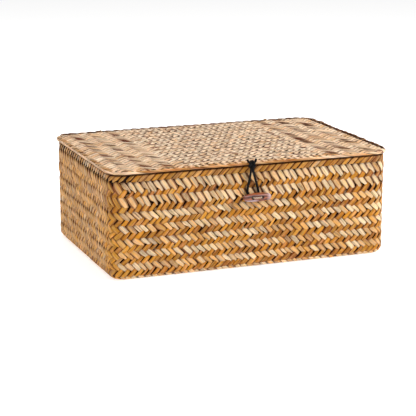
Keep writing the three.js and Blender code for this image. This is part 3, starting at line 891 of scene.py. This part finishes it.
def backing(cloth, surface, length, levels, depth, flip=False):
    """A dark sheet between the two sides of a plait, standing in for the shade seen through gaps between the strips.
    """
    u = np.linspace(0, length, 241)[:, None]
    v = np.asarray(levels, float)[None, :]
    cloth.add(surface(u + 0 * v, v + 0 * u, depth + 0 * u * v)[None], u + 0 * v, v + 0 * u, 0.5, SHADOW_KIND, flip)


def plate(cloth, half, radius, inset, z, sign):
    """A flat dark sheet under the floats of the lid or the base, standing in for the shade beneath them, inset from a
    rounded rectangle.
    """
    half, radius = (half[0] - inset, half[1] - inset), radius - inset
    u = np.linspace(0, perimeter(half, radius), 97)[:, None]
    inset = np.linspace(0, radius - 1, 3)[None, :]
    x, y, _, _ = plan(u + 0 * inset, inset + 0 * u, half, radius)
    cloth.add(np.stack([x, y, z + 0 * x], -1)[None], u + 0 * inset, inset + 0 * u, 0.5, SHADOW_KIND, flip=sign < 0)
    hx, hy = half[0] - radius + 1, half[1] - radius + 1
    gx, gy = np.meshgrid(np.linspace(-hx, hx, 3), np.linspace(-hy, hy, 3), indexing="ij")
    cloth.add(np.stack([gx, gy, z + 0 * gx], -1)[None], gx, gy, 0.5, SHADOW_KIND, flip=sign < 0)


def twill_floats(rule, half_x, half_y, pitch, radius):
    """Floats of a bias plait on a flat field: where each is, whether it falls, and how many cells long it is. The
    rule says where the strips that fall to the right are on top."""
    reach = int((half_x + half_y) * 1.5 / pitch) + 6
    found = []
    for falling in (True, False):
        for line in range(-reach, reach + 1):
            run = []
            for k in range(-reach, reach + 2):
                i, j = (k, line) if falling else (line, k)
                x, y = (i + j) * pitch / 2, (j - i) * pitch / 2
                inside = abs(x) < half_x + pitch and abs(y) < half_y + pitch
                top = inside and rule(i, j, x) == falling
                if top:
                    run.append((x, y))
                if run and (not top or len(run) >= 4):
                    x, y = (sum(places) / len(run) for places in zip(*run))
                    found.append((x, y, falling, len(run)))
                    run = []

    def on_field(x, y):
        dx, dy = max(abs(x) - (half_x - radius), 0), max(abs(y) - (half_y - radius), 0)
        return abs(x) < half_x and abs(y) < half_y and math.hypot(dx, dy) < radius

    return [(x, y, falling, cells) for x, y, falling, cells in found if on_field(x, y)]


# The plaited walls, outside and inside

box_length = perimeter(BOX_HALF, BOX_RADIUS)


def strip_places():
    """Centres and widths of strips of unlike width that fill the box's length."""
    widths = np.clip(1 + rng.normal(0, 0.17, PER_ROW), 0.6, 1.5)
    widths *= box_length / widths.sum()
    return np.cumsum(widths) - widths / 2, widths


falling_strips, rising_strips = strip_places(), strip_places()


def row_of(row):
    """Places along the wall and widths of the floats in a row. Rows of falling and of rising strips take turns."""
    places, widths = rising_strips if row % 2 else falling_strips
    return places + (0.5 + 2 * row) * PITCH / 2 * (-1 if row % 2 else 1), widths


upper, lower, inner = Cloth(), Cloth(), Cloth()
for row, drop in enumerate(ROW_DROPS):
    falling, leaf, high, last = row % 2 == 0, row in LEAF_ROWS, row < HIGH_ROWS, row == len(ROW_DROPS) - 1
    cu, widths = row_of(row)
    cv = drop + 0.4 * np.sin(cu / 41 + 1.3 * row) + 0.25 * np.sin(cu / 17 + row)
    x, y, _, ny = box_plan(cu)
    # On the front and back the falling strips are painted pale and the rising ones golden, a painted sheen on strips
    # that are all one straw; round the ends both are a middling tone, browner by the front left corner
    strong = smooth(0.3, 0.75, np.abs(ny)) * smooth(-149, -139, x)
    corner = smooth(-120, -145, x) * smooth(-70, -95, y)
    random = rng.random(PER_ROW)
    if falling:
        steep = math.radians(57 if leaf else 44)
        front = 0.1 if leaf else np.where(random < 0.45, 0.02, 0.26)
        kind = strong * front + (1 - strong) * (0.34 + 0.25 * corner) + rng.normal(0, 0.06, PER_ROW)
        slit = (1.9 + 1.6 * high, 1, -0.2, 0.7)
    else:
        steep = -math.radians(52 if high else 45)
        kind = strong * 0.82 + (1 - strong) * (0.48 + 0.25 * corner) + rng.normal(0, 0.12, PER_ROW)
        slit = (1.5 + 0.9 * high, -1, -1.5, -0.7)
    floats(upper if row < UPPER_ROWS else lower, wall_outside, cu, cv, steep, 6.3 if leaf else 5.2,
           widths * math.sin(abs(steep)) * 0.99, 1.0 if leaf else 0.75, np.clip(kind, 0, 1),
           base=(-0.42 if falling else -0.55) - 0.45 * last, taper=0.16 if leaf else 0.04, ns=10,
           roll=0.05 if falling else -0.05, dark=(0.55, 1.0), dive=(0.9, 1.25), crown=0.22, end=1.5, slit=slit,
           nip=(row == 0) * 0.4 * (1 - strong))
    inner_v = np.full(PER_ROW, (row + 0.5) * INNER_RUN / len(ROW_DROPS))
    floats(inner, wall_inside, cu + PITCH / 2, inner_v, math.radians(-45 if falling else 45), STRIP, STRIP * 0.97,
           0.8, 0.35 if falling else 0.55, ns=7, nt=3, skirt=0, flip=True)
levels = [*np.linspace(-2, OUTER_STRAIGHT, 12), *(OUTER_STRAIGHT + np.linspace(1, 11, 6))]
backing(lower, wall_outside, box_length, levels, -1.3)
levels = [*np.linspace(-1, INNER_STRAIGHT, 12), *(INNER_STRAIGHT + np.linspace(1, 7, 5))]
backing(inner, wall_inside, box_length, levels, -0.9, flip=True)
box_upper = upper.mesh("box_plait_upper", *BOX_PLAIT)
box_lower = lower.mesh("box_plait_lower", *BOX_PLAIT)
box_lining = inner.mesh("box_lining_plait", *BOX_PLAIT)


# The base. The rules say where the strips that fall to the right are on top


def rows_rule(i, j, x):
    return (i - j) % 4 in (0, 1)


def lid_rule(i, j, x):
    return rows_rule(i, j, x) if abs(x) < LID_TWILL else abs(i + j) % 6 in (0, 1, 2)


def field(cloth, rule, half, radius, pitch, z, sign, kind, margin, spread=0.06, fold=0.0, turn=0.0, vary=None,
          **more):
    """A level plait, seen from above (sign 1) or from below (-1). From the floats' places and directions vary tells
    how much browner each is and whatever else differs among them."""
    found = twill_floats(rule, half[0] - margin, half[1] - margin, pitch, max(radius - margin, 2))
    x, y, falling, cells = (np.array(c) for c in zip(*found))
    w = pitch / math.sqrt(2)
    angle = np.where(falling, -math.pi / 4, math.pi / 4)
    kinds = np.clip(kind + rng.normal(0, spread, len(x)), 0, 1)
    more = dict(crest=0.7, ns=7, nt=3, skirt=0) | more
    if vary:
        browner, differing = vary(x, y, falling)
        kinds = np.clip(kinds + browner, 0, 1)
        more |= differing
    floats(cloth, flat_surface(z, sign, half, radius, fold, turn), x, y, angle, cells * w / 2, w * 0.96, kind=kinds,
           flip=sign < 0, **more)


base = Cloth()
field(base, rows_rule, BOX_HALF, BOX_RADIUS, PITCH, 0.62, -1, 0.45, EDGE_RADIUS + 1)
field(base, rows_rule, BOX_HALF, BOX_RADIUS, PITCH, FLOOR, 1, 0.45, WALL + FLOOR_EDGE_RADIUS)
plate(base, BOX_HALF, BOX_RADIUS, 3, 1.5, -1)
plate(base, BOX_HALF, BOX_RADIUS, WALL, FLOOR - 1.0, 1)
base_plait = base.mesh("base_plait", *BOX_PLAIT)
for piece in (box_upper, box_lower, box_lining, base_plait):
    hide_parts("box_weave")


# The box's folded border: more golden on the front, with painted shade under the lid, and with a gap beside the left
# front corner


def border_variety(u):
    """The kind, the nip and the waist of the border's strips."""
    x, y, _, ny = box_plan(u)
    front = smooth(0.3, 0.75, -ny) * smooth(-150, -143, x)
    behind = (1 - front) * smooth(-30, 60, y) * np.where(np.floor(u / PITCH) % 2 < 1, 0.68, 0.4)
    gap = np.abs(np.mod(u, box_length) - (box_length - CORNER_GAP)) < CORNER_GAP_HALF
    # More golden on the front: painted shade under the lid's overhang
    return 0.36 + 0.22 * front, np.where(gap, 0.85, 0.7 - 0.58 * front), np.where(gap, 0.4, behind)


border = Cloth()
slanted(border, box_fold, PER_ROW, box_length, BOX_FOLD_RUN, 0.95, STRIP * 1.02, 0.36, 0.35, -0.5, 0.12, flip=True,
        vary=border_variety, groove=(BOX_RISE + 0.9, BOX_RISE + 4.6), variety=0.14, dark=0.85)
backing(border, box_fold, box_length, np.linspace(-0.3, BOX_FOLD_RUN, 14), -0.7, flip=True)
box_border = border.mesh("box_border_strips", "box", "border_strip", border_straw, shadow)
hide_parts("box_border")


# The lid's plait


def lid_variety(x, y, falling):
    """The lid is a twill in its middle and a herringbone at its sides, with painted shade along the floats' steps,
    most on the falling ones and on the right, and at the far ends of some.
    """
    side, left, right = smooth(70, 90, np.abs(x)), smooth(-70, -90, x), smooth(60, 90, x)
    most = np.where(falling, 1.0, 0.3)
    nip = 0.7 * rng.random(len(x)) ** 4
    chance = rng.random(len(x)) ** np.where(falling, 5, 5 - 4.4 * side)
    browner = 0.3 * np.maximum(smooth(-145, -151, x), smooth(-95, -101, y)) - 0.12 * smooth(84, 70, np.abs(x))
    return browner, dict(
        crest=0.8 - 0.5 * side, dive=(0.9 + 0.35 * side, 1.25 + 0.35 * side), nip=nip, roll=-0.08 + 0.04 * side,
        step=((0.14 + 0.12 * right) * most, most), rare=1.8 + 0.2 * side - 0.6 * right, short=0.2 * side,
        raised=(-0.22 * left - 0.4 * right) * falling, tip=np.where(falling, 0.5, 1.0) * chance)


lid, lid_inside = Cloth(), Cloth()
field(lid, lid_rule, LID_HALF, LID_RADIUS, LID_PITCH, LID_TOP - 0.05, 1, 0.25, -5.0, ns=15, nt=5, skirt=0.9,
      base=-0.75, spread=0.12, fold=LID_FOLD, turn=LID_TURN, vary=lid_variety, dark=(0.0, 0.35), crown=0.08,
      end=1.5, slit=(1.2, -1, -1.5, -0.7))
field(lid_inside, lid_rule, LID_UNDER, LID_UNDER_RADIUS, LID_PITCH, LID_BOTTOM + 1.7, -1, 0.35, -4.5)
plate(lid, LID_UNDER, LID_UNDER_RADIUS, -3, LID_TOP - 1.6, 1)
plate(lid_inside, LID_UNDER, LID_UNDER_RADIUS, -3, LID_BOTTOM + 2.3, -1)
lid_plait = lid.mesh("lid_plait", *LID_PLAIT)
lid_lining = lid_inside.mesh("lid_lining_plait", *LID_PLAIT)
for piece in (lid_plait, lid_lining):
    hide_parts("lid_weave")


# The lid's folded border: long strips along the front and left edges, short ones along the back and right edges

lid_length = perimeter(LID_HALF, LID_RADIUS)


def rim_variety(u):
    x, _, _, ny = lid_plan(u)
    return 0.2 + 0.6 * smooth(0.3, 0.8, -ny) * (1 - 0.8 * smooth(0, 60, x)), 0.0, 0.0


def lid_back(u):
    return lid_plan(u)[3] > 0.5


def lid_right(u):
    _, y, nx, ny = lid_plan(u)
    return (nx > 0.5) & (y > -84) & (ny <= 0.5)


def lid_front_or_left(u):
    return ~(lid_back(u) | lid_right(u))


def lid_back_corner(u):
    x, y, _, _ = lid_plan(u)
    return (np.abs(x) > 112) & (y > 66)


def rim_strips(count, *sizes, **more):
    slanted(rim, lid_fold, count, lid_length, LID_FOLD_RUN, *sizes, **more)


rim = Cloth()
rim_strips(76, 4.0, 3.1, 0.2, 0.3, -0.2, 0.08, ns=26, keep=lid_front_or_left, vary=rim_variety, dark=0.9,
           groove=(LID_RISE + 4.7, LID_RISE + 7.6), first=LID_RISE + 2.4,
           browning=(LID_RISE + 3.2, LID_RISE + 5.0, 0.2), variety=0.16)
short = dict(dark=1.0, groove=(LID_RISE + 4.6, LID_RISE + 7.6), first=0.3)
rim_strips(96, 1.5, 4.4, 0.35, 0.3, -0.3, 0.6, keep=lid_back, fade=(1.8, 3.0),
           sink=(LID_RISE + 1.8, LID_RISE + 3.2, 0.45), **short)
rim_strips(96, -1.5, 4.4, 0.35, 0.3, -0.3, -0.95, keep=lid_right, fade=(2.4, 4.0), **short)
# One broad pale strip round the right front corner, and fill underneath at the back corners
rim_strips(1, 1.2, 9.0, 0.0, 0.5, 0.0, 0.1, first=LID_RISE - 1.2, start=LID_HALF[0] - LID_RADIUS + 7, variety=0.0)
rim_strips(200, 0.0, 4.4, 0.35, 0.2, -0.5, 0.1, keep=lid_back_corner, first=LID_RISE + 5.0)
backing(rim, lid_fold, lid_length, np.linspace(0.3, LID_FOLD_RUN, 15), -0.8)
lid_rim = rim.mesh("lid_border_strips", "lid", "lid_border_strip", rim_straw, shadow)
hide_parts("lid_border")


# One more rising row, which fills the teeth between the walls' last row and the base's floats
steep = math.radians(45)
edge = Cloth()
cu, widths = row_of(len(ROW_DROPS))
floats(edge, wall_outside, cu, np.full(PER_ROW, ROW_DROPS[-1] + 6.6), -steep, 5.6, widths * math.sin(steep) * 0.99,
       0.6, 0.5, base=-1.15, ns=8, nt=3, skirt=0)
base_edge = edge.mesh("base_edge_plait", *BOX_PLAIT)
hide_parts("box_weave")

for name in ("box_rim_wire", "lid_rim_wire"):
    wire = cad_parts[name]
    wire.data.materials.clear()
    wire.data.materials.append(cane)


# Light and floor


def lamp(name, energy, location, size, colour=(1, 1, 1)):
    data = bpy.data.lights.new(name, "AREA")
    data.energy = energy
    data.color = colour
    data.shape = "SQUARE"
    data.size = size
    ob = placed(name, data)
    ob.location = location
    aimed(ob, Vector(LAMP_TARGET) - Vector(location))


lamp("key", 25, (1.2, -1.0, 1.05), 0.25, (1.0, 0.97, 0.93))
lamp("fill", 9, (-1.6, -0.8, 0.7), 1.2, (0.97, 0.98, 1.0))
lamp("top", 13, (0.0, 0.6, 1.7), 1.4)

world = bpy.data.worlds.new("studio")
scene.world = world
world.use_nodes = True
light, strength = world.node_tree.nodes["Background"].inputs[:2]
light.default_value, strength.default_value = (1, 1, 1, 1), 0.32

floor_mesh = bpy.data.meshes.new("floor")
floor_mesh.from_pydata([(-9, -9, 0), (9, -9, 0), (9, 9, 0), (-9, 9, 0)], [], [(0, 1, 2, 3)])
floor = placed("floor", floor_mesh)
floor_mesh.materials.append(Shader("floor_white").finish({
    "Base Color": [0.85, 0.85, 0.85, 1], "Roughness": 0.9, "Emission Color": [1, 1, 1, 1], "Emission Strength": 0.6}))

scene.view_settings.view_transform = "Standard"
scene.view_settings.look = "None"
